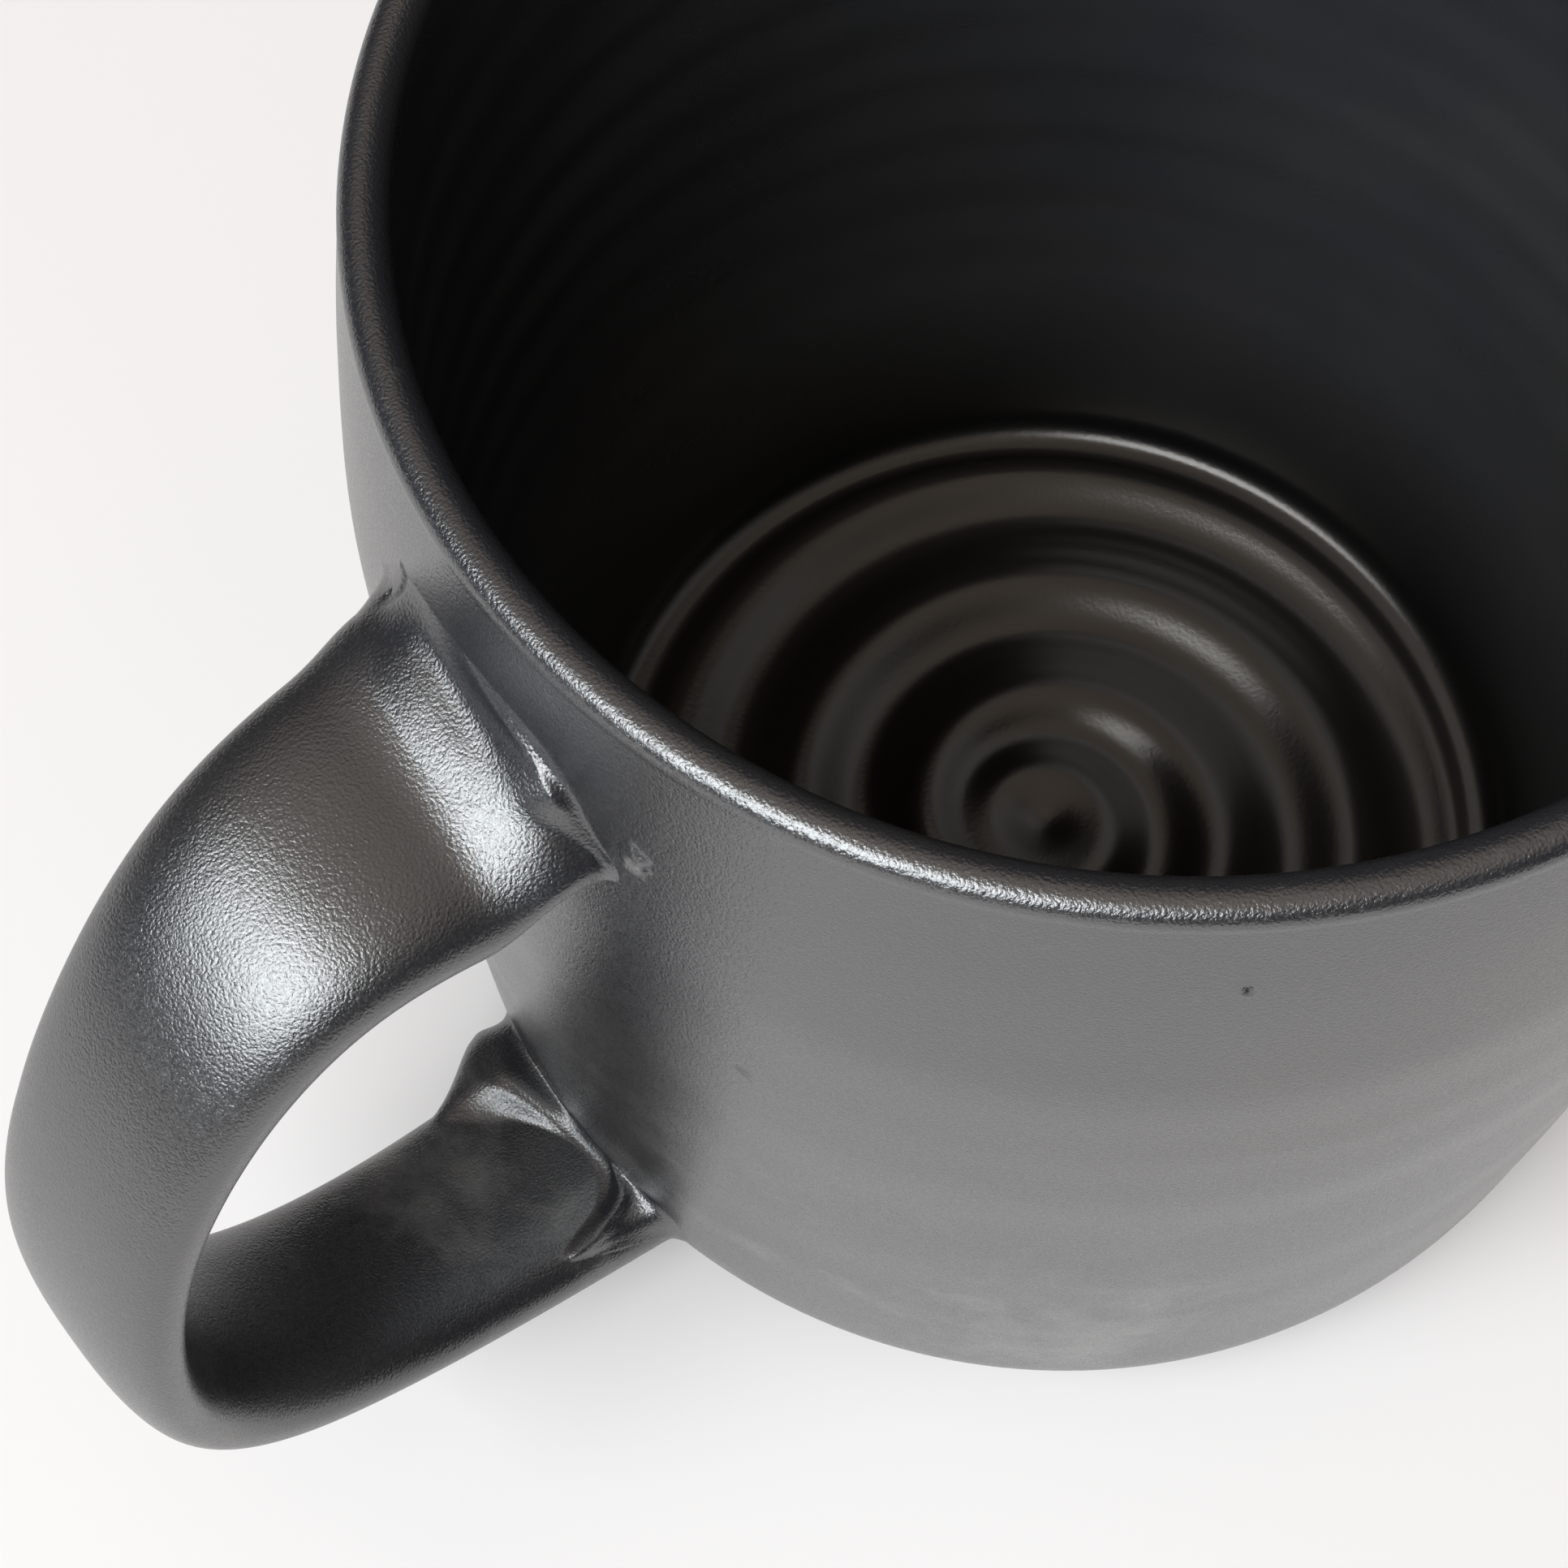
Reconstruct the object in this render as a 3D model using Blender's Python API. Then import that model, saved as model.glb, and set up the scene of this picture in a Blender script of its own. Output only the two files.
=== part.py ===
"""A thrown stoneware mug with a pulled strap handle, as four separate clay pieces.

The mug stands on Z = 0 with its axis on +Z, and the handle points along -X.
"""

import math

import bmesh
import bpy
import numpy as np
from mathutils import Vector

MM = 0.001

# Thrown body
HEIGHT = 93 * MM
RIM_INNER_RADIUS = 40 * MM
LIP_OUTER_RADIUS = 42.8 * MM
BELLY_RADIUS = 45.6 * MM
FOOT_RADIUS = 38.8 * MM
FOOT_BEVEL = 2 * MM
FLOOR_THICKNESS = 6.6 * MM
WALL = 3.9 * MM
LIP_ROUND = 1.4 * MM
TURNS = 64

# Pulled strap, as its centreline in the plane of the handle: (distance from the axis, height)
STRAP_ROUTE = [
    (42 * MM, 76.5 * MM),
    (57.7 * MM, 78.8 * MM),
    (69 * MM, 70 * MM),
    (76.1 * MM, 55.8 * MM),
    (77.4 * MM, 40.1 * MM),
    (71.3 * MM, 25.7 * MM),
    (58.5 * MM, 16.5 * MM),
    (42 * MM, 11.3 * MM),
]
# Half sizes of its section and its drift towards +Y, at even stations from the top to the bottom
HALF_WIDTHS = [9.6 * MM, 7.4 * MM, 8.0 * MM, 7.8 * MM, 9.0 * MM]
HALF_THICKNESSES = [3.4 * MM, 3.1 * MM, 2.6 * MM, 2.7 * MM, 3.2 * MM]
SWAYS = [1.8 * MM, 0.4 * MM, -0.4 * MM, -0.5 * MM, -0.5 * MM]
UPPER_ROLL = math.radians(12)
# Over these shares of the route the upper terminal rises and loses its roll as it nears the wall
TERMINAL_LIFT = 2.4 * MM
TERMINAL_END = 0.01
TERMINAL_START = 0.075
SQUARENESS = 2.5
RUN_ON = 0.05
STRAP_STEPS = 48
SECTION_POINTS = 28

# Slip joints between the strap's terminals and the wall
GAP = 0.3 * MM
PAD = 1.2 * MM
COLLAR_HEIGHT = 4.2 * MM
COLLAR_SPREAD = 3.1 * MM
COLLAR_LIP = 0.6 * MM
COLLAR_EDGE = 0.4 * MM
COLLAR_STEPS = 6

GLAZE = {"color": (0.021, 0.020, 0.021, 1), "roughness": 0.42}
GLAZED_SLIP = {"color": (0.025, 0.023, 0.023, 1), "roughness": 0.48}


def clear_scene():
    for obj in list(bpy.data.objects):
        bpy.data.objects.remove(obj, do_unlink=True)


def smooth_curve(stations, count):
    """Points on the natural cubic curve through the stations, evenly spread along their chords."""
    points = np.array(stations, float).reshape(len(stations), -1)
    chords = np.linalg.norm(np.diff(points, axis=0), axis=1)
    knots = np.concatenate([[0], np.cumsum(chords)])
    last = len(points) - 1
    bends = np.eye(last + 1)
    pulls = np.zeros_like(points)
    for i in range(1, last):
        before, after = chords[i - 1], chords[i]
        bends[i, i - 1 : i + 2] = before, 2 * (before + after), after
        pulls[i] = 6 * ((points[i + 1] - points[i]) / after - (points[i] - points[i - 1]) / before)
    second = np.linalg.solve(bends, pulls)
    path = []
    for t in np.linspace(0, knots[-1], count):
        i = min(int(np.searchsorted(knots, t, side="right")) - 1, last - 1)
        span = chords[i]
        a, b = knots[i + 1] - t, t - knots[i]
        path.append(
            (second[i] * a**3 + second[i + 1] * b**3) / (6 * span)
            + (points[i] / span - second[i] * span / 6) * a
            + (points[i + 1] / span - second[i + 1] * span / 6) * b
        )
    return np.array(path)


def outer_wall():
    """The outside of the wall from the lip down to the foot, as (radius, height)."""
    return smooth_curve(
        [
            (LIP_OUTER_RADIUS, HEIGHT - LIP_ROUND),
            (BELLY_RADIUS - 0.75 * MM, HEIGHT * 0.83),
            (BELLY_RADIUS, HEIGHT * 0.65),
            (BELLY_RADIUS - 0.2 * MM, HEIGHT * 0.48),
            (BELLY_RADIUS - 0.45 * MM, HEIGHT * 0.31),
            (BELLY_RADIUS - 0.85 * MM, HEIGHT * 0.18),
            (BELLY_RADIUS - 1.8 * MM, HEIGHT * 0.08),
            (FOOT_RADIUS + FOOT_BEVEL, FOOT_BEVEL),
            (FOOT_RADIUS, 0),
        ],
        22,
    )


def inner_wall():
    """The inside from the floor's edge up to the lip, as (radius, height)."""
    return smooth_curve(
        [
            (RIM_INNER_RADIUS - 5.4 * MM, FLOOR_THICKNESS),
            (RIM_INNER_RADIUS - 4.3 * MM, FLOOR_THICKNESS + 0.6 * MM),
            (RIM_INNER_RADIUS - 3.6 * MM, FLOOR_THICKNESS + 2.2 * MM),
            (RIM_INNER_RADIUS - 2.4 * MM, FLOOR_THICKNESS + 6 * MM),
            (RIM_INNER_RADIUS - 0.8 * MM, FLOOR_THICKNESS + 11 * MM),
            (BELLY_RADIUS - WALL - 0.9 * MM, HEIGHT * 0.26),
            (BELLY_RADIUS - WALL, HEIGHT * 0.62),
            (BELLY_RADIUS - WALL - 0.7 * MM, HEIGHT * 0.83),
            (RIM_INNER_RADIUS, HEIGHT - LIP_ROUND),
        ],
        26,
    )


def lip():
    """The rounded top edge, from the inside over to the outside."""
    middle = (RIM_INNER_RADIUS + LIP_OUTER_RADIUS) / 2
    half = (LIP_OUTER_RADIUS - RIM_INNER_RADIUS) / 2
    angles = [math.pi - math.pi * i / 6 for i in range(1, 6)]
    return [(middle + half * math.cos(a), HEIGHT - LIP_ROUND + LIP_ROUND * math.sin(a)) for a in angles]


def clay(name, look):
    material = bpy.data.materials.new(name)
    material.use_nodes = True
    shader = material.node_tree.nodes["Principled BSDF"]
    shader.inputs["Base Color"].default_value = look["color"]
    shader.inputs["Roughness"].default_value = look["roughness"]
    shader.inputs["Metallic"].default_value = 0
    return material


def finish_piece(bm, name, material):
    bmesh.ops.recalc_face_normals(bm, faces=bm.faces)
    mesh = bpy.data.meshes.new(name)
    bm.to_mesh(mesh)
    bm.free()
    mesh.shade_smooth()
    mesh.set_sharp_from_angle(angle=math.radians(40))
    mesh.materials.append(material)
    piece = bpy.data.objects.new(name, mesh)
    bpy.context.scene.collection.objects.link(piece)
    return piece


def turned_piece(name, profile, material):
    """A profile of (radius, height) points, from axis to axis, turned about +Z."""
    bm = bmesh.new()
    points = [bm.verts.new((radius, 0, height)) for radius, height in profile]
    edges = [bm.edges.new(pair) for pair in zip(points, points[1:])]
    bmesh.ops.spin(
        bm,
        geom=points + edges,
        cent=(0, 0, 0),
        axis=(0, 0, 1),
        angle=2 * math.pi,
        steps=TURNS,
        use_merge=True,
    )
    bmesh.ops.remove_doubles(bm, verts=bm.verts, dist=0.00001)
    return finish_piece(bm, name, material)


def lofted_piece(name, rings, first_centre, last_centre, material):
    """Rings of equal length skinned in order, and closed by a fan at each end."""
    bm = bmesh.new()
    loops = [[bm.verts.new(point) for point in ring] for ring in rings]
    count = len(rings[0])
    for lower, upper in zip(loops, loops[1:]):
        for i in range(count):
            j = (i + 1) % count
            bm.faces.new((lower[i], lower[j], upper[j], upper[i]))
    for loop, centre in ((loops[0], first_centre), (loops[-1], last_centre)):
        middle = bm.verts.new(centre)
        for i in range(count):
            bm.faces.new((loop[i], loop[(i + 1) % count], middle))
    return finish_piece(bm, name, material)


class Strap:
    """The handle's strap: an oval section carried along its route, and where it meets the wall."""

    def __init__(self):
        self.route = smooth_curve(STRAP_ROUTE, 241)
        self.share = np.linspace(0, 1, len(self.route))
        runs = np.gradient(self.route, axis=0)
        steps = np.linalg.norm(runs, axis=1)
        self.runs = runs / steps[:, None]
        self.length = steps.sum()
        self.widths = self.spread_along(HALF_WIDTHS)
        self.thicknesses = self.spread_along(HALF_THICKNESSES)
        self.sways = self.spread_along(SWAYS)
        self.wall = outer_wall()[::-1]

    def spread_along(self, stations):
        positions = np.linspace(0, 1, len(stations))
        curve = smooth_curve(list(zip(positions, stations)), len(self.share))
        return np.interp(self.share, curve[:, 0], curve[:, 1])

    def at(self, values, share):
        return np.array([np.interp(share, self.share, column) for column in np.atleast_2d(values.T)])

    def nearness(self, share):
        """1 at the upper terminal's joint, easing to 0 along the free strap."""
        t = min(max((TERMINAL_START - share) / (TERMINAL_START - TERMINAL_END), 0), 1)
        return t * t * (3 - 2 * t)

    def place(self, share):
        """A point of the route, which runs straight on past either end."""
        within = min(max(share, 0), 1)
        beyond = (share - within) * self.length
        reach, height = self.at(self.route, within) + self.at(self.runs, within) * beyond
        return reach, height + TERMINAL_LIFT * self.nearness(share)

    def point(self, share, angle, grow):
        """The skin point at an angle round the section, with the section grown by a margin."""
        reach, height = self.place(share)
        run_x, run_z = self.at(self.runs, share)
        half_width = self.at(self.widths, share)[0] + grow
        half_thickness = self.at(self.thicknesses, share)[0] + grow
        roll = -UPPER_ROLL * min(max(1 - share * 3, 0), 1) * (1 - self.nearness(share))
        c, s = math.cos(angle), math.sin(angle)
        across = half_width * math.copysign(abs(c) ** (2 / SQUARENESS), c)
        out = half_thickness * math.copysign(abs(s) ** (2 / SQUARENESS), s)
        across, out = (
            across * math.cos(roll) - out * math.sin(roll),
            across * math.sin(roll) + out * math.cos(roll),
        )
        sway = self.at(self.sways, share)[0]
        return Vector((-(reach - run_z * out), sway - across, height + run_x * out))

    def centre(self, share):
        reach, height = self.place(share)
        return Vector((-reach, self.at(self.sways, share)[0], height))

    def clearance(self, point):
        """How far a point stands off the outside of the wall."""
        radius = math.hypot(point.x, point.y)
        return radius - float(np.interp(point.z, self.wall[:, 1], self.wall[:, 0]))

    def share_at(self, clearance, upper, skin):
        """Where along the route skin(share) stands off the wall by a clearance, near one terminal."""
        near, far = (-RUN_ON, 0.35) if upper else (1 + RUN_ON, 0.65)
        for _ in range(40):
            middle = (near + far) / 2
            if self.clearance(skin(middle)) < clearance:
                near = middle
            else:
                far = middle
        return (near + far) / 2

    def ring(self, clearance, upper, grow):
        """The section's outline, each point slid along the strap to one clearance from the wall."""
        points = []
        for i in range(SECTION_POINTS):
            angle = 2 * math.pi * i / SECTION_POINTS
            share = self.share_at(clearance, upper, lambda t: self.point(t, angle, grow))
            points.append(self.point(share, angle, grow))
        return points

    def middle_at(self, clearance, upper):
        return self.centre(self.share_at(clearance, upper, self.centre))


def make_body():
    floor = [(0, FLOOR_THICKNESS)]
    profile = floor + list(inner_wall()) + lip() + list(outer_wall()) + [(0, 0)]
    return turned_piece("mug_body", profile, clay("body_glaze", GLAZE))


def make_strap(strap):
    seat = GAP + PAD + GAP
    start = strap.share_at(seat + COLLAR_HEIGHT, True, strap.centre)
    end = strap.share_at(seat + COLLAR_HEIGHT, False, strap.centre)
    rings = [strap.ring(seat, True, 0), strap.ring(seat + COLLAR_HEIGHT / 2, True, 0)]
    for share in np.linspace(start, end, STRAP_STEPS):
        angles = [2 * math.pi * i / SECTION_POINTS for i in range(SECTION_POINTS)]
        rings.append([strap.point(share, angle, 0) for angle in angles])
    rings += [strap.ring(seat + COLLAR_HEIGHT / 2, False, 0), strap.ring(seat, False, 0)]
    tips = strap.middle_at(seat, True), strap.middle_at(seat, False)
    return lofted_piece("handle_strap", rings, *tips, clay("strap_glaze", GLAZE))


def make_slip_joint(name, strap, upper):
    """A collar of slip with a pocket for the strap's terminal, hollow side out, laid on the wall."""
    floor = GAP + PAD
    rings = [strap.ring(floor, upper, GAP), strap.ring(COLLAR_HEIGHT, upper, GAP)]
    for i in range(COLLAR_STEPS + 1):
        turn = math.pi / 2 * i / COLLAR_STEPS
        rise = (COLLAR_HEIGHT - GAP - COLLAR_EDGE) * (1 - math.sin(turn))
        spread = COLLAR_LIP + COLLAR_SPREAD * (1 - math.cos(turn))
        rings.append(strap.ring(GAP + COLLAR_EDGE + rise, upper, GAP + spread))
    rings.append(strap.ring(GAP, upper, GAP + COLLAR_LIP + COLLAR_SPREAD))
    rings.append(strap.ring(GAP, upper, GAP))
    centres = strap.middle_at(floor, upper), strap.middle_at(GAP, upper)
    return lofted_piece(name, rings, *centres, clay(name + "_glaze", GLAZED_SLIP))


def main():
    clear_scene()
    strap = Strap()
    make_body()
    make_strap(strap)
    make_slip_joint("upper_slip_joint", strap, True)
    make_slip_joint("lower_slip_joint", strap, False)


main()
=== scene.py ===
"""Looks of the thrown stoneware mug: throwing rings, pulled strap, wiped slip joints, satin black glaze.

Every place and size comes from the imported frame: the mug stands on Z = 0 and its handle points along -X.
"""

import math

import bpy
import numpy as np
from mathutils import Matrix, Vector


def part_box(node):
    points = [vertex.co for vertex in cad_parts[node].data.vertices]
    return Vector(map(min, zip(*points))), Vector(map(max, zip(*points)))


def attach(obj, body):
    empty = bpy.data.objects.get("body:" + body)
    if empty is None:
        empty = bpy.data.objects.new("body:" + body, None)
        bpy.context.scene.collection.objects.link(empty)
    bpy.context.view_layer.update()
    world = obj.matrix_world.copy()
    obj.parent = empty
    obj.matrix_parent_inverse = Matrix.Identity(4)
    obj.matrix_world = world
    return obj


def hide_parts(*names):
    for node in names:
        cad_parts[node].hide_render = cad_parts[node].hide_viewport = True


MM = 0.001

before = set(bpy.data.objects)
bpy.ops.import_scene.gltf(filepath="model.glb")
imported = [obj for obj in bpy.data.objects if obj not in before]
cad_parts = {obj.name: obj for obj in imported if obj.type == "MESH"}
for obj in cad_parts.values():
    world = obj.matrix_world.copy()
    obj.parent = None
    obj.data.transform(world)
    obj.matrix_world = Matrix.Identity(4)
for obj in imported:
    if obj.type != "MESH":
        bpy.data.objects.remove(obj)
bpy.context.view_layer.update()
body_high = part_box("mug_body")[1]
strap_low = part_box("handle_strap")[0]

HEIGHT = body_high.z
BELLY = body_high.x
REACH = -strap_low.x


# ---------------------------------------------------------------- curves


def smooth_curve(stations, count):
    """Points on the natural cubic curve through the stations, evenly spread along their chords."""
    points = np.array(stations, float).reshape(len(stations), -1)
    chords = np.linalg.norm(np.diff(points, axis=0), axis=1)
    knots = np.concatenate([[0], np.cumsum(chords)])
    last = len(points) - 1
    bends = np.eye(last + 1)
    pulls = np.zeros_like(points)
    for i in range(1, last):
        before, after = chords[i - 1], chords[i]
        bends[i, i - 1 : i + 2] = before, 2 * (before + after), after
        pulls[i] = 6 * ((points[i + 1] - points[i]) / after - (points[i] - points[i - 1]) / before)
    second = np.linalg.solve(bends, pulls)
    t = np.linspace(0, knots[-1], count)
    i = np.clip(np.searchsorted(knots, t, side="right") - 1, 0, last - 1)
    span = chords[i][:, None]
    a = knots[i + 1][:, None] - t[:, None]
    b = t[:, None] - knots[i][:, None]
    cubic = (second[i] * a**3 + second[i + 1] * b**3) / (6 * span)
    from_this = (points[i] / span - second[i] * span / 6) * a
    to_next = (points[i + 1] / span - second[i + 1] * span / 6) * b
    return cubic + from_this + to_next


def smooth_step(x, start, end):
    """0 before the start, 1 after the end, and easing between them."""
    t = np.clip((x - start) / (end - start), 0, 1)
    return t * t * (3 - 2 * t)


def softer_step(x, start, end):
    """A step that also starts and ends without a jump in its bend."""
    t = np.clip((x - start) / (end - start), 0, 1)
    return t**3 * (10 - 15 * t + 6 * t * t)


def bump_at(x, middle, width):
    """A soft hill of height 1."""
    return np.exp(-(((x - middle) / width) ** 2))


def turn_apart(a, b):
    """The signed angle from b to a, between -pi and pi."""
    return (a - b + math.pi) % (2 * math.pi) - math.pi


def wander(angle, seed, lowest=1, highest=5):
    """A slow hand-made waver round the mug, of about unit size."""
    total = 0
    for k in range(lowest, highest + 1):
        total = total + np.cos(k * angle + seed * 12.9898 + k * k * 2.399) / k
    return total / 1.5


# ---------------------------------------------------------------- the body's walls


WALL = 3.9 * MM
FLOOR = 6.6 * MM
LIP_OUTER = BELLY - 2.8 * MM
LIP_INNER = BELLY - 5.6 * MM
LIP_BASE = HEIGHT - 1.4 * MM
LIP_WAVER = 0.12 * MM
FOOT_RADIUS = BELLY - 6.8 * MM
FOOT_BEVEL = 2 * MM
FOOT_HOLLOW = 0.45 * MM
COVE_STEP = 0.4 * MM

# Stations of (radius, height) up the outside and up the inside
OUTSIDE = [
    (FOOT_RADIUS, 0),
    (FOOT_RADIUS + FOOT_BEVEL, FOOT_BEVEL),
    (BELLY - 1.8 * MM, 0.08 * HEIGHT),
    (BELLY - 0.85 * MM, 0.18 * HEIGHT),
    (BELLY - 0.45 * MM, 0.31 * HEIGHT),
    (BELLY - 0.2 * MM, 0.48 * HEIGHT),
    (BELLY, 0.65 * HEIGHT),
    (BELLY - 0.75 * MM, 0.83 * HEIGHT),
    (LIP_OUTER, LIP_BASE),
]
INSIDE = [
    (LIP_INNER - 6.4 * MM, FLOOR),
    (LIP_INNER - 4.8 * MM, FLOOR + 0.7 * MM),
    (LIP_INNER - 3.8 * MM, FLOOR + 2.4 * MM),
    (LIP_INNER - 2.4 * MM, FLOOR + 6 * MM),
    (LIP_INNER - 0.8 * MM, FLOOR + 11 * MM),
    (BELLY - WALL - 0.9 * MM, 0.26 * HEIGHT),
    (BELLY - WALL, 0.62 * HEIGHT),
    (BELLY - WALL - 0.7 * MM, 0.83 * HEIGHT),
    (LIP_INNER, LIP_BASE),
]
OUTSIDE_FINE = smooth_curve(OUTSIDE, 900)
INSIDE_FINE = smooth_curve(INSIDE, 900)


def throwing_rings(angle, height, pitch, climb, seed):
    """Finger ridges that climb slowly round the wall, uneven along their way."""
    phase = height / pitch - climb * angle / (2 * math.pi)
    uneven = 0.65 + 0.35 * wander(angle + height * 40, seed, 1, 4)
    ridge = np.sin(2 * math.pi * phase) + 0.15 * np.sin(2 * math.pi * phase * 1.7 + seed)
    return ridge * uneven


OUTER_RING_PITCH, OUTER_RING_DEPTH = 9.3 * MM, 0.035 * MM
INNER_RING_PITCH, INNER_RING_DEPTH = 6.8 * MM, 0.20 * MM
BAND_PITCH, BAND_DEPTH = 17 * MM, 0.05 * MM
OUTER_WAVER, INNER_WAVER = 0.14 * MM, 0.12 * MM

# Small marks on the outside, as (angle round the mug, height)
PINHOLE = (math.radians(234.5), HEIGHT - 6.8 * MM)
TICK = (math.radians(202), HEIGHT - 30 * MM)
CURL = (math.radians(167.5), HEIGHT - 9.4 * MM)
SCAR = (math.radians(193.3), HEIGHT - 10.9 * MM)
SCAR_RADIUS = BELLY - 0.4 * MM


def small_marks(angle, height):
    """A glaze pinhole, a tick-shaped dent and a curl of wiped slip on the outside of the wall."""
    pin_x, pin_z = turn_apart(angle, PINHOLE[0]) * BELLY, height - PINHOLE[1]
    pin = np.hypot(pin_x, pin_z)
    pinhole = 0.05 * bump_at(pin, 0.42 * MM, 0.16 * MM) - 0.42 * bump_at(pin, 0, 0.24 * MM)
    tick_x, tick_z = turn_apart(angle, TICK[0]) * BELLY, height - TICK[1]
    along, across = 0.6 * tick_x - 0.8 * tick_z, 0.8 * tick_x + 0.6 * tick_z
    tick = 0.12 * bump_at(across, 0.3 * MM, 0.2 * MM) - 0.22 * bump_at(across, 0, 0.16 * MM)
    curl_x, curl_z = turn_apart(angle, CURL[0]) * BELLY, height - CURL[1]
    curl = bump_at(np.hypot(curl_x, curl_z * 0.7), 0.75 * MM, 0.18 * MM) * (curl_x > -0.2 * MM)
    scar_x, scar_z = turn_apart(angle, SCAR[0]) * BELLY, height - SCAR[1]
    ragged = 0.16 * MM * np.sin(scar_z / MM * 5) + 0.1 * MM * np.sin(scar_z / MM * 11 + 1)
    scar_wide = 1 - smooth_step(np.abs(scar_x + ragged - 0.25 * scar_z), 0.45 * MM, 0.95 * MM)
    scar = scar_wide * (1 - smooth_step(np.abs(scar_z + 0.5 * scar_x), 0.8 * MM, 1.5 * MM))
    return MM * (pinhole + tick * bump_at(along, 0, 0.6 * MM) - 0.22 * curl + 0.36 * scar)


def outer_radius(angle, height):
    """The outside of the thrown wall, with its faint rings and the waver of a hand-made pot."""
    plain = np.interp(height, OUTSIDE_FINE[:, 1], OUTSIDE_FINE[:, 0])
    up = height / HEIGHT
    free = smooth_step(up, 0.03, 0.12)
    rings = OUTER_RING_DEPTH * throwing_rings(angle, height, OUTER_RING_PITCH, 1, 4.0)
    rings = rings * free * (1 - 0.75 * smooth_step(up, 0.72, 0.92)) * (1 - 0.5 * smooth_step(up, 0.1, 0))
    waver = OUTER_WAVER * wander(angle, 2.0, 2, 5) * free
    bands = BAND_DEPTH * np.sin(height / BAND_PITCH * 2 * math.pi + 0.8 * wander(angle, 7.0)) * free
    bands = bands * (1 - smooth_step(up, 0.85, 0.98))
    return plain + rings + waver + bands + small_marks(angle, height)


def inner_radius(angle, height):
    """The inside of the wall, with stronger rings where the far wall was ribbed by the fingers."""
    plain = np.interp(height, INSIDE_FINE[:, 1], INSIDE_FINE[:, 0])
    up = (height - FLOOR) / (HEIGHT - FLOOR)
    band = smooth_step(up, 0.06, 0.3) * (1 - 0.8 * smooth_step(up, 0.7, 0.93))
    rings = INNER_RING_DEPTH * throwing_rings(angle, height, INNER_RING_PITCH, 1, 1.3)
    return plain + (rings + INNER_WAVER * wander(angle, 2.0, 2, 5)) * band


SPIRAL_PITCH = 10.4 * MM
SPIRAL_START = 12.9 * MM
SPIRAL_DEPTH = 0.80 * MM
NUB_RADIUS, NUB_HEIGHT, DIMPLE_DEPTH = 4.6 * MM, 0.5 * MM, 0.35 * MM


def floor_height(angle, radius):
    """The floor's finger spiral: ridges that wind in to a small dimpled nub."""
    turn = (angle % (2 * math.pi)) / (2 * math.pi)
    phase = (radius - SPIRAL_START) / SPIRAL_PITCH + turn
    fade_in = smooth_step(radius, 3.5 * MM, 9 * MM)
    fade_out = 1 - smooth_step(radius, 31 * MM, 34.5 * MM)
    ridge = SPIRAL_DEPTH * np.cos(2 * math.pi * phase) * fade_in * fade_out
    nub = NUB_HEIGHT * bump_at(radius, NUB_RADIUS, 2.8 * MM)
    dimple = DIMPLE_DEPTH * bump_at(radius, 0, 2.2 * MM)
    return ridge + (nub - dimple)


# ---------------------------------------------------------------- mesh building


def make_piece(name, vertices, faces, materials, slots=None):
    """A closed smooth mesh from an array of points and a list of faces."""
    mesh = bpy.data.meshes.new(name)
    mesh.from_pydata(vertices.tolist(), [], faces)
    for material in materials:
        mesh.materials.append(material)
    if slots is not None:
        mesh.polygons.foreach_set("material_index", slots)
    mesh.shade_smooth()
    mesh.validate()
    piece = bpy.data.objects.new(name, mesh)
    bpy.context.scene.collection.objects.link(piece)
    return piece


def skin(rows, columns, first_pole, last_pole):
    """Faces over a grid of points that closes on itself along its columns, with a pole at each end."""
    faces = []
    for j in range(rows - 1):
        for i in range(columns):
            k = (i + 1) % columns
            faces.append((j * columns + i, j * columns + k, (j + 1) * columns + k, (j + 1) * columns + i))
    last = (rows - 1) * columns
    for i in range(columns):
        k = (i + 1) % columns
        faces.append((k, i, first_pole))
        faces.append((last + i, last + k, last_pole))
    return faces


# Rows and columns of the body's grid, with more of them close to each small mark,
# and the rows beyond the base that stay bare of glaze
EVEN_COLUMNS = 224
CLOSE_ANGLE, CLOSE_COLUMNS = math.radians(1.9), 19
CLOSE_HEIGHT, CLOSE_ROWS = 1.6 * MM, 15
BASE_ROWS, OUTER_ROWS, LIP_ROWS, INNER_ROWS, FLOOR_ROWS = 16, 90, 20, 76, 74


def with_closer(values, middles, reach, count):
    """The values with more of them close to each of some middles."""
    extra = [middle + reach * np.linspace(-1, 1, count) for middle in middles]
    merged = np.sort(np.concatenate([values] + extra))
    return merged[np.concatenate([[True], np.diff(merged) > reach / count * 0.3])]


BARE_EDGE_ROWS = 4
MARK_ANGLES, MARK_HEIGHTS = zip(PINHOLE, TICK, CURL, SCAR)
EVEN_ANGLES = np.arange(EVEN_COLUMNS) * 2 * math.pi / EVEN_COLUMNS
COLUMN_ANGLES = with_closer(EVEN_ANGLES, MARK_ANGLES, CLOSE_ANGLE, CLOSE_COLUMNS)
BODY_COLUMNS = len(COLUMN_ANGLES)


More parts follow.
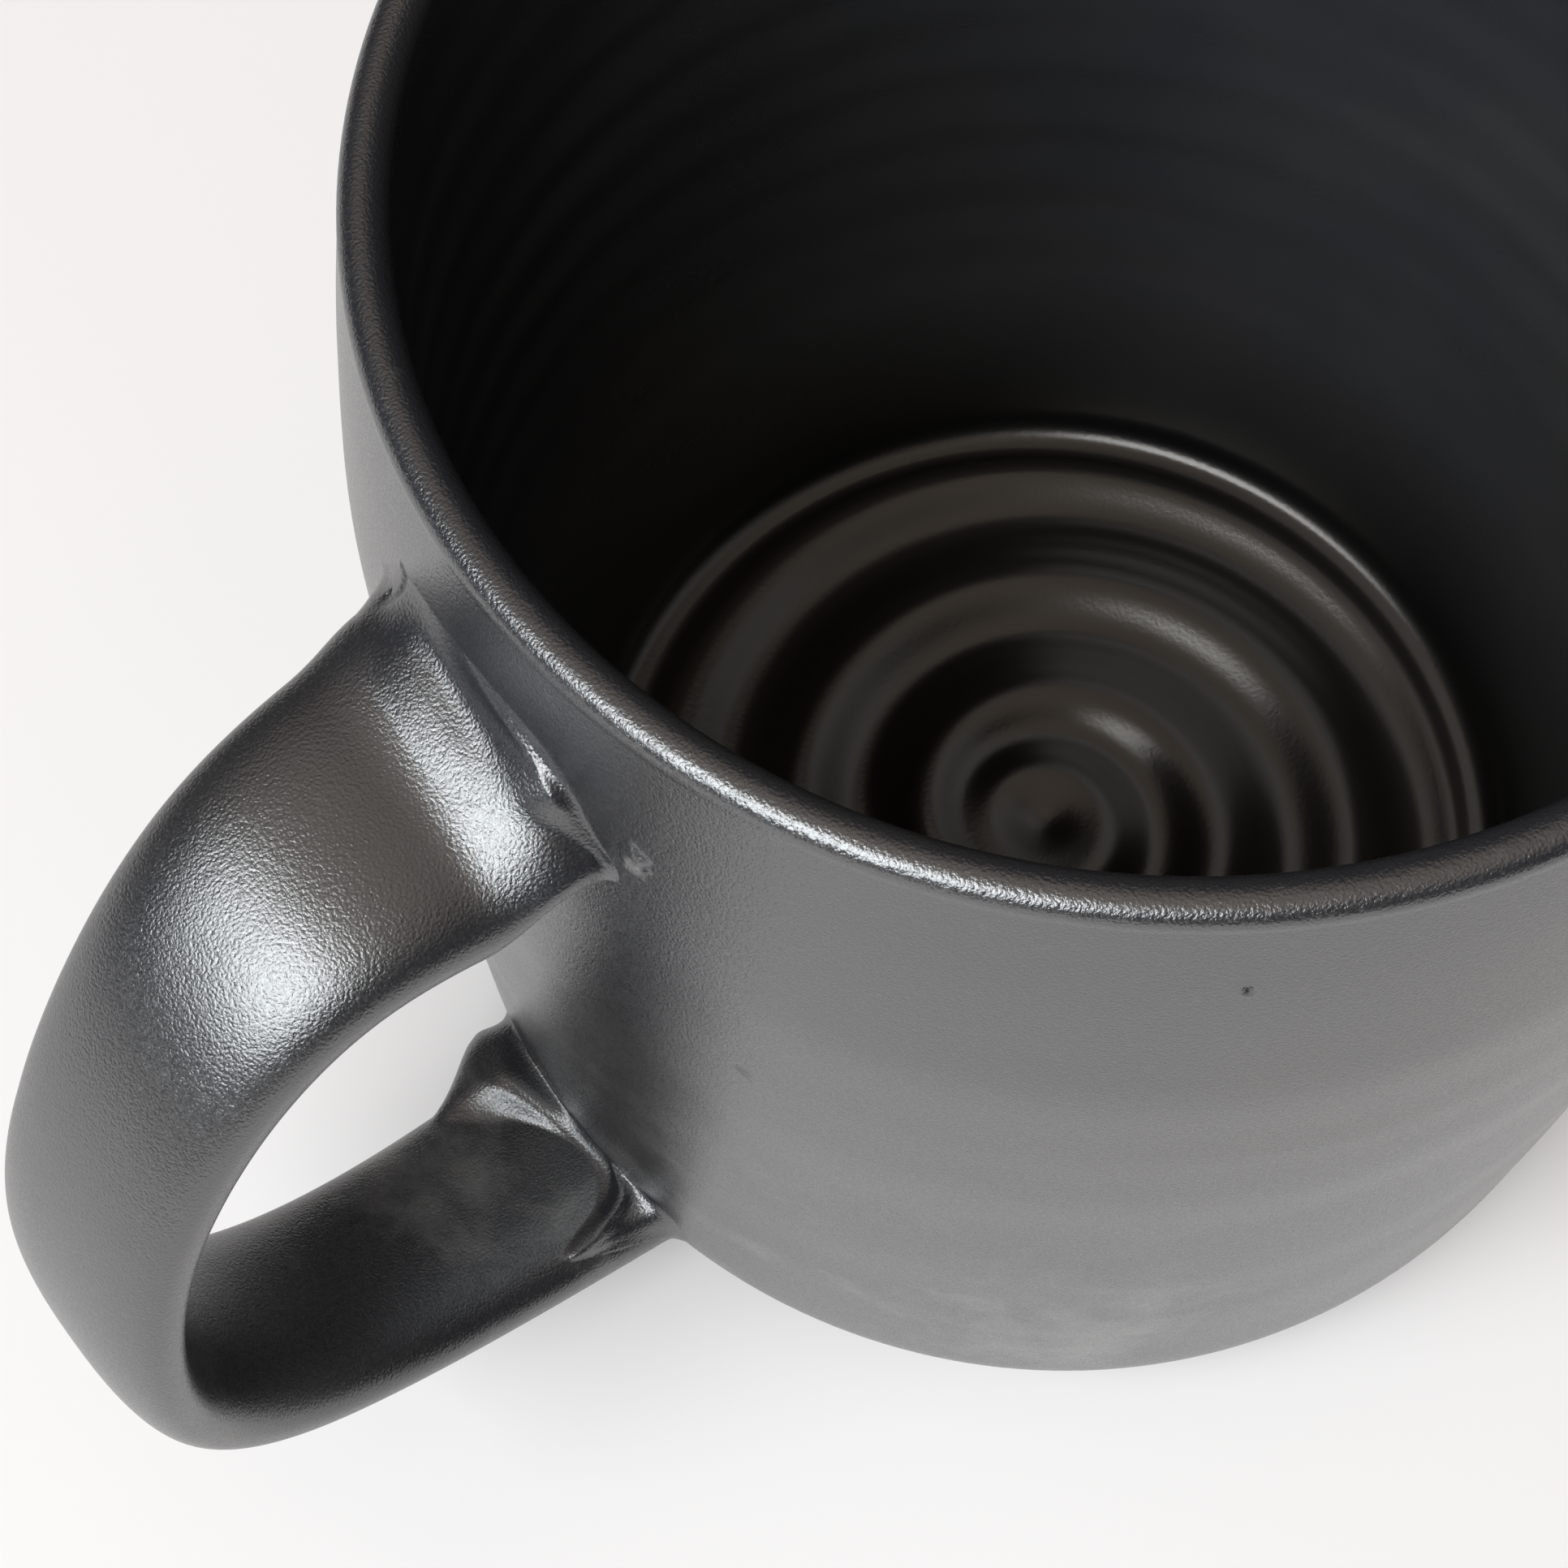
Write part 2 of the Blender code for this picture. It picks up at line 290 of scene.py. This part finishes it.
def body_rows(angle):
    """Rows of (radius, height) arrays, from the foot's centre out, up, over the lip, down and in."""
    rows = []
    for radius in np.linspace(1 * MM, FOOT_RADIUS - 0.6 * MM, BASE_ROWS):
        hollow = FOOT_HOLLOW * (1 - (radius / FOOT_RADIUS) ** 4)
        hollow = hollow + 0.03 * MM * math.sin(radius / (0.8 * MM))
        rows.append((radius + 0 * angle, hollow * (radius < FOOT_RADIUS - 3 * MM) + 0 * angle))
    heights = np.linspace(0, 1, OUTER_ROWS) ** 1.25 * (LIP_BASE - 0.15 * MM) + 0.1 * MM
    for height in with_closer(heights, MARK_HEIGHTS, CLOSE_HEIGHT, CLOSE_ROWS):
        rows.append((outer_radius(angle, height + 0 * angle), height + 0 * angle))
    outer_top = outer_radius(angle, LIP_BASE + 0 * angle)
    inner_top = inner_radius(angle, LIP_BASE + 0 * angle)
    middle, half = (outer_top + inner_top) / 2, (outer_top - inner_top) / 2
    waver = LIP_WAVER * wander(angle, 5.0, 1, 4)
    for turn in np.linspace(0, math.pi, LIP_ROWS):
        lift = (HEIGHT - LIP_BASE) * (math.sin(turn) ** 0.9)
        lean = 0.12 * math.sin(turn)
        height = LIP_BASE + (lift + waver * math.sin(turn) ** 2)
        rows.append((middle + half * (math.cos(turn) + lean), height))
    inside_low = FLOOR + COVE_STEP
    for share in np.linspace(0, 1, INNER_ROWS + 1)[1:]:
        height = LIP_BASE + (inside_low - LIP_BASE) * share
        rows.append((inner_radius(angle, height + 0 * angle), height + 0 * angle))
    cove_edge = rows[-1][0]
    for share in np.linspace(0, 1, FLOOR_ROWS + 1)[1:]:
        radius = cove_edge * (1 - share) + 0.6 * MM * share
        cove = COVE_STEP * (1 - smooth_step(share, 0, 0.04))
        ridges = floor_height(angle, radius) * smooth_step(share, 0, 0.08)
        rows.append((radius, FLOOR + cove + ridges))
    return rows


def make_body(glaze, bare_clay, pooled_glaze):
    """The thrown vessel, with bare clay under the foot and the pooled glaze inside."""
    angle = COLUMN_ANGLES
    rows = body_rows(angle)
    grid = [np.stack([r * np.cos(angle), r * np.sin(angle), z], 1) for r, z in rows]
    points = np.concatenate(grid)
    poles = np.array([[0, 0, rows[0][1].mean()], [0, 0, rows[-1][1].mean()]])
    count = len(points)
    faces = skin(len(rows), BODY_COLUMNS, count, count + 1)
    faces = [face[::-1] for face in faces]
    bare_rows = BASE_ROWS + BARE_EDGE_ROWS
    inside_rows = len(rows) - FLOOR_ROWS - INNER_ROWS
    row_slots = [1 if j < bare_rows else 2 if j >= inside_rows else 0 for j in range(len(rows) - 1)]
    slots = np.repeat(row_slots, BODY_COLUMNS).tolist() + [1, 2] * BODY_COLUMNS
    looks = [glaze, bare_clay, pooled_glaze]
    return make_piece("thrown_body", np.concatenate([points, poles]), faces, looks, slots)


# ---------------------------------------------------------------- the pulled strap

# The strap's centreline in the plane of the handle, as (distance from the axis, height)
STRAP_ROUTE = [
    (42 * MM, 76.5 * MM),
    (57.7 * MM, 78.8 * MM),
    (69 * MM, 70 * MM),
    (76.1 * MM, 55.8 * MM),
    (77.4 * MM, 40.1 * MM),
    (71.3 * MM, 25.7 * MM),
    (58.5 * MM, 16.5 * MM),
    (42 * MM, 11.3 * MM),
]
# Half sizes of its section and its drift towards +Y, at even stations from the top to the bottom
HALF_WIDTHS = [10.2 * MM, 7.4 * MM, 8.0 * MM, 7.8 * MM, 9.0 * MM]
HALF_THICKNESSES = [3.4 * MM, 2.9 * MM, 2.6 * MM, 2.7 * MM, 3.2 * MM]
SWAYS = [1.2 * MM, 0.4 * MM, -0.4 * MM, -0.5 * MM, -0.5 * MM]
UPPER_ROLL = math.radians(12)
# Over these shares of the route the upper terminal rises and loses its roll as it nears the wall
TERMINAL_LIFT = 2.6 * MM
TERMINAL_END = 0.022
TERMINAL_START = 0.086
# Round the section, the corner that lifts less, in degrees
CORNER_DROP, CORNER_ANGLE, CORNER_WIDTH = 0.42, 23, 33
SQUARENESS = 2.5
RUN_ON = 0.06
ROUTE_STEPS = 1201
ROUTE = smooth_curve(STRAP_ROUTE, ROUTE_STEPS)
SHARES = np.linspace(0, 1, ROUTE_STEPS)
RUNS = np.gradient(ROUTE, axis=0)
STRAP_LENGTH = np.linalg.norm(RUNS, axis=1).sum()
RUNS /= np.linalg.norm(RUNS, axis=1)[:, None]


def along_strap(stations):
    """Values at even stations, spread smoothly over the whole route."""
    curve = smooth_curve(list(zip(np.linspace(0, 1, len(stations)), stations)), ROUTE_STEPS)
    return np.interp(SHARES, curve[:, 0], curve[:, 1])


WIDTHS = along_strap(HALF_WIDTHS)
THICKNESSES = along_strap(HALF_THICKNESSES)
DRIFTS = along_strap(SWAYS)


def strap_point(share, angle, grow=0.0):
    """Points of the strap's skin, at a share of its route and an angle round its section."""
    beyond = (share - np.clip(share, 0, 1)) * STRAP_LENGTH
    run_x, run_z = np.interp(share, SHARES, RUNS[:, 0]), np.interp(share, SHARES, RUNS[:, 1])
    reach = np.interp(share, SHARES, ROUTE[:, 0]) + run_x * beyond
    height = np.interp(share, SHARES, ROUTE[:, 1]) + run_z * beyond
    half_width = np.interp(share, SHARES, WIDTHS) + grow
    half_thickness = np.interp(share, SHARES, THICKNESSES) + grow
    terminal = 1 - softer_step(share, TERMINAL_END, TERMINAL_START)
    corner = near_angle(angle, CORNER_ANGLE, CORNER_WIDTH)
    height = height + TERMINAL_LIFT * terminal * (1 - CORNER_DROP * corner)
    roll = -UPPER_ROLL * np.clip(1 - share * 3, 0, 1) * (1 - terminal)
    c, s = np.cos(angle), np.sin(angle)
    across = half_width * np.sign(c) * np.abs(c) ** (2 / SQUARENESS)
    out = half_thickness * np.sign(s) * np.abs(s) ** (2 / SQUARENESS)
    across, out = across * np.cos(roll) - out * np.sin(roll), across * np.sin(roll) + out * np.cos(roll)
    sway = np.interp(share, SHARES, DRIFTS)
    return np.stack([-(reach - run_z * out), sway - across, height + run_x * out], -1)


def clearance(points):
    """How far points stand off the outside of the wall."""
    angle = np.arctan2(points[..., 1], points[..., 0])
    return np.hypot(points[..., 0], points[..., 1]) - outer_radius(angle, points[..., 2])


SEARCH_REACH = 0.35
SEARCH_STEPS = 36


def strap_at_clearance(wanted, angle, grow, upper):
    """The skin's points that stand off the wall by the wanted distance, near one terminal."""
    near = np.full(np.broadcast(wanted, angle).shape, -RUN_ON if upper else 1 + RUN_ON)
    far = np.full(near.shape, SEARCH_REACH if upper else 1 - SEARCH_REACH)
    for _ in range(SEARCH_STEPS):
        middle = (near + far) / 2
        inside = clearance(strap_point(middle, angle, grow)) < wanted
        near = np.where(inside, middle, near)
        far = np.where(inside, far, middle)
    return strap_point((near + far) / 2, angle, grow)


STRAP_COLUMNS = 96
STRAP_ROWS = 250


def even_angles(count):
    """Angles round the section, a little closer together at its narrow edges."""
    turn = np.arange(count) * 2 * math.pi / count
    return turn - 0.22 * np.sin(2 * turn)


def make_strap(glaze):
    """The whole strap, with its ends inside the wall."""
    angle = even_angles(STRAP_COLUMNS)
    shares = np.linspace(0, 1, STRAP_ROWS)
    rows = [strap_point(np.full(STRAP_COLUMNS, share), angle) for share in shares]
    points = np.concatenate(rows + [rows[0].mean(0)[None], rows[-1].mean(0)[None]])
    count = STRAP_COLUMNS * STRAP_ROWS
    faces = skin(STRAP_ROWS, STRAP_COLUMNS, count, count + 1)
    return make_piece("pulled_strap", points, faces, [glaze])


# ---------------------------------------------------------------- slip joints

# A collar's edges sink by SKIM over a length EASE, so that the slip runs out without a step,
# and its hidden side closes at ROOT_DEPTH below the skin of the strap and the wall
COLLAR_COLUMNS = 320
COLLAR_ROWS = 64
SKIM = 0.12 * MM
EASE = 2.5 * MM
SKIM_ROWS = 8
ROOT_DEPTH = 8 * SKIM


def make_collar(name, upper, glaze, height_of, spread_of, relief):
    """Slip wiped round a terminal: a hollow fillet that leaves the strap and meets the wall smoothly."""
    angle = even_angles(COLLAR_COLUMNS)
    height, spread = height_of(angle), spread_of(angle)
    rows = []
    for lead in np.linspace(1, 0, SKIM_ROWS, endpoint=False):
        rows.append(strap_at_clearance(height + EASE * lead, angle, -SKIM * lead**2, upper))
    for share in np.linspace(0, 1, COLLAR_ROWS):
        turn = share * math.pi / 2
        lift = relief(angle, share) * smooth_step(share, 0, 0.12) * (1 - smooth_step(share, 0.93, 1))
        out, up = spread * math.sin(turn), height * math.cos(turn)
        slant = np.hypot(out, up)
        off_wall = height * (1 - math.sin(turn)) + lift * out / slant
        grow = spread * (1 - math.cos(turn)) + lift * up / slant
        rows.append(strap_at_clearance(off_wall, angle, grow, upper))
    for lead in np.linspace(1, 0, SKIM_ROWS, endpoint=False)[::-1]:
        rows.append(strap_at_clearance(-SKIM * lead**2 + 0 * angle, angle, spread + EASE * lead, upper))
    rows.append(strap_at_clearance(-ROOT_DEPTH + 0 * angle, angle, spread, upper))
    rows.append(strap_at_clearance(-ROOT_DEPTH + 0 * angle, angle, -ROOT_DEPTH, upper))
    for lead in np.linspace(0.1, 0.95, SKIM_ROWS):
        depth = ROOT_DEPTH * (1 - 0.6 * lead)
        rows.append(strap_at_clearance((height + EASE) * lead, angle, -depth, upper))
    points = np.concatenate(rows)
    faces = []
    for j in range(len(rows)):
        below = (j + 1) % len(rows)
        for i in range(COLLAR_COLUMNS):
            k = (i + 1) % COLLAR_COLUMNS
            face = (
                j * COLLAR_COLUMNS + i,
                j * COLLAR_COLUMNS + k,
                below * COLLAR_COLUMNS + k,
                below * COLLAR_COLUMNS + i,
            )
            faces.append(face if upper else face[::-1])
    return make_piece(name, points, faces, [glaze])


def between(angle, start, end, fall):
    """1 between two angles in degrees, easing to 0 beyond them."""
    degrees = np.degrees(angle)
    return smooth_step(degrees, start - fall, start) * (1 - smooth_step(degrees, end, end + fall))


def near_angle(angle, degrees, width):
    """A hill of height 1 round the section: 0 is the -Y edge, 90 the outer face, 180 the +Y edge."""
    return bump_at(turn_apart(angle, math.radians(degrees)), 0, math.radians(width))


def upper_height(angle):
    """How far up the strap the upper joint's slip reaches, round the section."""
    sides = 0.9 + 3.4 * between(angle, 80, 112, 58) + 2.2 * near_angle(angle, 175, 32)
    return MM * (sides + 0.12 * wander(angle, 3.0))


def upper_spread(angle):
    """How far over the wall the upper joint's slip reaches, round the section."""
    sides = 0.45 + 2.6 * between(angle, 82, 110, 60) + 1.3 * near_angle(angle, 175, 28)
    return MM * (sides + 0.1 * wander(angle, 9.0))


def upper_relief(angle, share):
    """The slip's wiped edge: a thin ridge that runs down into a lump, after a shallow valley."""
    degrees = np.degrees(angle)
    ridge_share = np.interp(degrees, [50, 58, 90, 100], [0.60, 0.66, 0.84, 0.90])
    along = between(angle, 60, 84, 14)
    ridge = 0.22 * along * bump_at(share, ridge_share, 0.1)
    lump = 0.55 * near_angle(angle, 60, 12) * bump_at(share, 0.52, 0.24)
    valley = 0.45 * near_angle(angle, 84, 26) * bump_at(share, ridge_share - 0.36, 0.2)
    uneven = 0.04 * np.cos(3 * angle + 9 * share) + 0.03 * np.cos(7 * angle - 5 * share + 1)
    return MM * (ridge + lump - valley + uneven * smooth_step(np.sin(angle), -0.2, 0.4))


def lower_height(angle):
    """How far up the strap the lower joint's slip reaches, round the section."""
    shoulder = 8.2 * near_angle(angle, 203, 42)
    inner = 0.3 * between(angle, 235, 300, 28)
    corner = 6.6 * near_angle(angle, 318, 20)
    return MM * (1.2 + shoulder + inner + corner + 0.15 * wander(angle, 4.0))


def lower_spread(angle):
    """How far over the wall the lower joint's slip reaches, round the section."""
    shoulder = 2.6 * near_angle(angle, 198, 45)
    inner = 0.2 * between(angle, 240, 296, 26)
    corner = 1.0 * near_angle(angle, 316, 20)
    return MM * (0.8 + shoulder + inner + corner + 0.15 * wander(angle, 8.0))


def lower_relief(angle, share):
    """A pressed shoulder on the +Y side and the arc that a fingertip left across the inner face."""
    degrees = np.degrees(angle)
    swell = smooth_step(share, 0.0, 0.5) * (1 - smooth_step(share, 0.55, 1))
    shoulder = 2.1 * near_angle(angle, 188, 38) * swell
    step_rise = smooth_step(share, 0.08, 0.36) * (1 - smooth_step(share, 0.45, 0.95))
    step = 1.1 * near_angle(angle, 240, 20) * step_rise
    arc_share = np.interp(degrees, [284, 294, 308, 318], [0.9, 0.62, 0.26, 0.14])
    along = smooth_step(degrees, 278, 292) * (1 - smooth_step(degrees, 312, 328))
    arc = 0.6 * along * bump_at(share, arc_share, 0.2)
    hollow = 0.25 * near_angle(angle, 270, 16) * bump_at(share, 0.5, 0.3)
    uneven = 0.05 * np.cos(3 * angle + 8 * share) + 0.03 * np.cos(6 * angle - 4 * share + 2)
    return MM * (shoulder + step + arc - hollow + uneven)


# ---------------------------------------------------------------- materials


class Nodes:
    """Short names for building one material's nodes."""

    def __init__(self, name):
        self.material = bpy.data.materials.new(name)
        self.material.use_nodes = True
        self.tree = self.material.node_tree
        self.shader = self.tree.nodes["Principled BSDF"]
        self.place = self.add("ShaderNodeTexCoord").outputs["Object"]

    def add(self, kind, **settings):
        node = self.tree.nodes.new(kind)
        for key, value in settings.items():
            setattr(node, key, value)
        return node

    def link(self, source, target):
        self.tree.links.new(source, target)

    def noise(self, scale, detail, roughness):
        node = self.add("ShaderNodeTexNoise")
        node.inputs["Scale"].default_value = scale
        node.inputs["Detail"].default_value = detail
        node.inputs["Roughness"].default_value = roughness
        self.link(self.place, node.inputs["Vector"])
        return node.outputs["Fac"]

    def ramp(self, value, *stops):
        """A color between two stops of (position, color)."""
        node = self.add("ShaderNodeValToRGB")
        for element, (position, color) in zip(node.color_ramp.elements, stops):
            element.position = position
            element.color = (*color, 1)
        self.link(value, node.inputs["Fac"])
        return node.outputs["Color"]

    def remap(self, value, low, high, new_low, new_high):
        node = self.add("ShaderNodeMapRange")
        node.inputs["From Min"].default_value = low
        node.inputs["From Max"].default_value = high
        node.inputs["To Min"].default_value = new_low
        node.inputs["To Max"].default_value = new_high
        self.link(value, node.inputs["Value"])
        return node.outputs["Result"]

    def mix(self, factor, first, second):
        """The first color where the factor is 0, and the second, a socket or a color, where it is 1."""
        node = self.add("ShaderNodeMix", data_type="RGBA")
        first_color, second_color, mixed_color = node.inputs[6], node.inputs[7], node.outputs[2]
        self.link(factor, node.inputs["Factor"])
        self.link(first, first_color)
        if isinstance(second, tuple):
            second_color.default_value = (*second, 1)
        else:
            self.link(second, second_color)
        return mixed_color

    def height(self):
        """The height of each point above the table."""
        split = self.add("ShaderNodeSeparateXYZ")
        self.link(self.place, split.inputs[0])
        return split.outputs["Z"]

    def product(self, first, second):
        node = self.add("ShaderNodeMath", operation="MULTIPLY")
        self.link(first, node.inputs[0])
        self.link(second, node.inputs[1])
        return node.outputs[0]

    def near(self, point, inner, outer):
        """1 closer to a point than the inner distance, fading to 0 at the outer one."""
        gap = self.add("ShaderNodeVectorMath", operation="DISTANCE")
        self.link(self.place, gap.inputs[0])
        gap.inputs[1].default_value = point
        return self.remap(gap.outputs["Value"], inner, outer, 1, 0)

    def bump(self, height, distance, strength=1.0, normal=None):
        node = self.add("ShaderNodeBump")
        node.inputs["Distance"].default_value = distance
        node.inputs["Strength"].default_value = strength
        self.link(height, node.inputs["Height"])
        if normal is not None:
            self.link(normal, node.inputs["Normal"])
        return node.outputs["Normal"]


def glaze_material(name):
    """Satin black stoneware glaze: warm drifts, a fine grain, pale smears low down, and a painted
    reflection: a pale patch on the scar by the upper joint.
    """
    nodes = Nodes(name)
    drift = nodes.noise(28, 4, 0.6)
    grain = nodes.noise(5600, 2, 0.5)
    specks = nodes.noise(900, 2, 0.6)
    color = nodes.ramp(drift, (0.34, (0.0125, 0.0135, 0.0175)), (0.66, (0.021, 0.0195, 0.0195)))
    color = nodes.mix(nodes.remap(specks, 0.64, 0.75, 0, 0.4), color, (0.045, 0.042, 0.040))
    low = nodes.remap(nodes.height(), 0.34 * HEIGHT, 0.56 * HEIGHT, 1, 0)
    smears = nodes.product(low, nodes.remap(nodes.noise(48, 5, 0.68), 0.54, 0.70, 0, 0.6))
    color = nodes.mix(smears, color, (0.17, 0.165, 0.16))
    # Painted reflection: a pale grey patch painted on the scar, standing in for the pale table mirrored by
    # the bare wall there.
    scar_reflection_x, scar_reflection_y = SCAR_RADIUS * math.cos(SCAR[0]), SCAR_RADIUS * math.sin(SCAR[0])
    scar_reflection = Vector((scar_reflection_x, scar_reflection_y, SCAR[1]))
    color = nodes.mix(nodes.near(scar_reflection, 0.45 * MM, 1.05 * MM), color, (0.19, 0.185, 0.18))
    nodes.link(color, nodes.shader.inputs["Base Color"])
    nodes.link(nodes.remap(grain, 0.3, 0.7, 0.22, 0.32), nodes.shader.inputs["Roughness"])
    nodes.shader.inputs["IOR"].default_value = 2.1
    swell = nodes.bump(nodes.noise(180, 2, 0.5), 0.00002)
    nodes.link(nodes.bump(grain, 0.000052, 1.0, swell), nodes.shader.inputs["Normal"])
    return nodes.material


def pooled_glaze_material():
    """The same glaze inside the cup, where it ran thick: glassier and almost without grain, with painted
    shade that makes the floor much blacker than the walls.
    """
    nodes = Nodes("pooled_black_glaze_painted_shade")
    drift = nodes.noise(24, 4, 0.6)
    grain = nodes.noise(2600, 2, 0.5)
    walls = nodes.ramp(drift, (0.34, (0.028, 0.029, 0.033)), (0.66, (0.041, 0.040, 0.040)))
    # Painted shade: the floor at the bottom of the cup is coloured near black, fading up to the walls'
    # colour between 2 and 16 mm above the floor.
    floor = nodes.ramp(drift, (0.34, (0.004, 0.004, 0.005)), (0.66, (0.007, 0.0065, 0.006)))
    climb = nodes.remap(nodes.height(), FLOOR + 2 * MM, FLOOR + 16 * MM, 0, 1)
    nodes.link(nodes.mix(climb, floor, walls), nodes.shader.inputs["Base Color"])
    nodes.link(nodes.remap(drift, 0.3, 0.7, 0.21, 0.27), nodes.shader.inputs["Roughness"])
    nodes.shader.inputs["IOR"].default_value = 1.6
    nodes.shader.inputs["Specular Tint"].default_value = (1.0, 0.95, 0.89, 1)
    swell = nodes.bump(nodes.noise(180, 2, 0.5), 0.00002)
    nodes.link(nodes.bump(grain, 0.00002, 0.5, swell), nodes.shader.inputs["Normal"])
    return nodes.material


def bare_clay_material():
    """The unglazed foot: dark fired stoneware with grog, sanded smooth."""
    nodes = Nodes("bare_stoneware")
    tone = nodes.noise(60, 5, 0.65)
    color = nodes.ramp(tone, (0.35, (0.105, 0.082, 0.064)), (0.65, (0.165, 0.13, 0.10)))
    grog = nodes.noise(1500, 3, 0.7)
    color = nodes.mix(nodes.remap(grog, 0.6, 0.72, 0, 0.7), color, (0.05, 0.042, 0.036))
    nodes.link(color, nodes.shader.inputs["Base Color"])
    nodes.link(nodes.remap(tone, 0.3, 0.7, 0.78, 0.92), nodes.shader.inputs["Roughness"])
    nodes.link(nodes.bump(grog, 0.00012), nodes.shader.inputs["Normal"])
    return nodes.material


def table_material():
    """A matt, very slightly warm white table."""
    nodes = Nodes("pale_table")
    tone = nodes.noise(3, 3, 0.5)
    color = nodes.ramp(tone, (0.3, (0.825, 0.795, 0.785)), (0.7, (0.862, 0.832, 0.822)))
    nodes.link(color, nodes.shader.inputs["Base Color"])
    nodes.shader.inputs["Roughness"].default_value = 0.7
    return nodes.material


# ---------------------------------------------------------------- assembly

glaze = glaze_material("satin_black_glaze")
slip_glaze = glaze_material("glazed_slip")
body = make_body(glaze, bare_clay_material(), pooled_glaze_material())
strap = make_strap(glaze)
upper_joint = make_collar(
    "upper_slip_fillet", True, slip_glaze, upper_height, upper_spread, upper_relief
)
lower_joint = make_collar(
    "lower_slip_fillet", False, slip_glaze, lower_height, lower_spread, lower_relief
)

for piece, node, slot in (
    (body, "mug_body", "satin_black_glaze"),
    (strap, "handle_strap", "satin_black_glaze"),
    (upper_joint, "upper_slip_joint", "glazed_slip"),
    (lower_joint, "lower_slip_joint", "glazed_slip"),
):
    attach(piece, "root")
    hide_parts(node)

# ---------------------------------------------------------------- table, light and camera

PALE_HORIZON = (0.30, 0.28, 0.26)
DARK_ROOM = (0.035, 0.036, 0.04)
WARM_CEILING = (0.66, 0.565, 0.49)
PALE_BACKDROP = (0.86, 0.845, 0.83)


def make_table():
    """A flat table that reaches well past the mug."""
    side = 12 * REACH
    mesh = bpy.data.meshes.new("table")
    corners = [(-side, -side, 0), (side, -side, 0), (side, side, 0), (-side, side, 0)]
    mesh.from_pydata(corners, [], [(0, 1, 2, 3)])
    mesh.materials.append(table_material())
    table = bpy.data.objects.new("table", mesh)
    bpy.context.scene.collection.objects.link(table)


def soft_light(name, azimuth, elevation, distance, width, height, watts, color):
    """A rectangle of light that looks at the mug from a compass direction."""
    light = bpy.data.lights.new(name, "AREA")
    light.shape = "RECTANGLE"
    light.size = width
    light.size_y = height
    light.energy = watts
    light.color = color
    lamp = bpy.data.objects.new(name, light)
    a, e = math.radians(azimuth), math.radians(elevation)
    towards = Vector((math.cos(a) * math.cos(e), math.sin(a) * math.cos(e), math.sin(e)))
    lamp.location = Vector((0, 0, HEIGHT / 2)) + towards * distance
    lamp.rotation_euler = towards.to_track_quat("Z", "Y").to_euler()
    bpy.context.scene.collection.objects.link(lamp)


def make_world():
    """A dark room under a warm ceiling, which the camera itself sees as a pale backdrop."""
    world = bpy.data.worlds.new("studio")
    bpy.context.scene.world = world
    world.use_nodes = True
    tree = world.node_tree
    room = tree.nodes["Background"]
    direction = tree.nodes.new("ShaderNodeTexCoord").outputs["Generated"]
    split = tree.nodes.new("ShaderNodeSeparateXYZ")
    tree.links.new(direction, split.inputs[0])
    climb = tree.nodes.new("ShaderNodeValToRGB")
    stops = ((0.0, PALE_HORIZON), (0.03, DARK_ROOM), (0.62, DARK_ROOM), (0.96, WARM_CEILING))
    for position, color in stops:
        element = climb.color_ramp.elements.new(position)
        element.color = (*color, 1)
    climb.color_ramp.elements.remove(climb.color_ramp.elements[0])
    climb.color_ramp.elements.remove(climb.color_ramp.elements[-1])
    tree.links.new(split.outputs["Z"], climb.inputs["Fac"])
    tree.links.new(climb.outputs["Color"], room.inputs["Color"])
    backdrop = tree.nodes.new("ShaderNodeBackground")
    backdrop.inputs["Color"].default_value = (*PALE_BACKDROP, 1)
    path = tree.nodes.new("ShaderNodeLightPath")
    either = tree.nodes.new("ShaderNodeMixShader")
    tree.links.new(path.outputs["Is Camera Ray"], either.inputs["Fac"])
    tree.links.new(room.outputs["Background"], either.inputs[1])
    tree.links.new(backdrop.outputs["Background"], either.inputs[2])
    tree.links.new(either.outputs["Shader"], tree.nodes["World Output"].inputs["Surface"])


def make_camera():
    """Close above the rim, on the handle's side, tipped down into the cup."""
    azimuth, roll = math.radians(-140.3), math.radians(-1.27)
    away, above = 2.343 * LIP_INNER, 3.122 * LIP_INNER
    rim = Vector((0, 0, HEIGHT))
    place = rim + Vector((away * math.cos(azimuth), away * math.sin(azimuth), above))
    aim = rim + Vector((-0.940 * LIP_INNER, -0.388 * LIP_INNER, 0))
    camera = bpy.data.cameras.new("camera")
    camera.lens = 67.08
    camera.sensor_width = 36
    camera.clip_start = 0.005
    holder = bpy.data.objects.new("camera", camera)
    view = (aim - place).to_track_quat("-Z", "Y").to_matrix().to_4x4()
    holder.matrix_world = Matrix.Translation(place) @ view @ Matrix.Rotation(roll, 4, "Z")
    bpy.context.scene.collection.objects.link(holder)
    bpy.context.scene.camera = holder


make_table()
make_world()
soft_light(
    "window",
    azimuth=190,
    elevation=47,
    distance=1.8,
    width=1.5,
    height=1.15,
    watts=47,
    color=(0.92, 0.97, 1.0),
)
make_camera()
bpy.context.scene.view_settings.view_transform = "Standard"
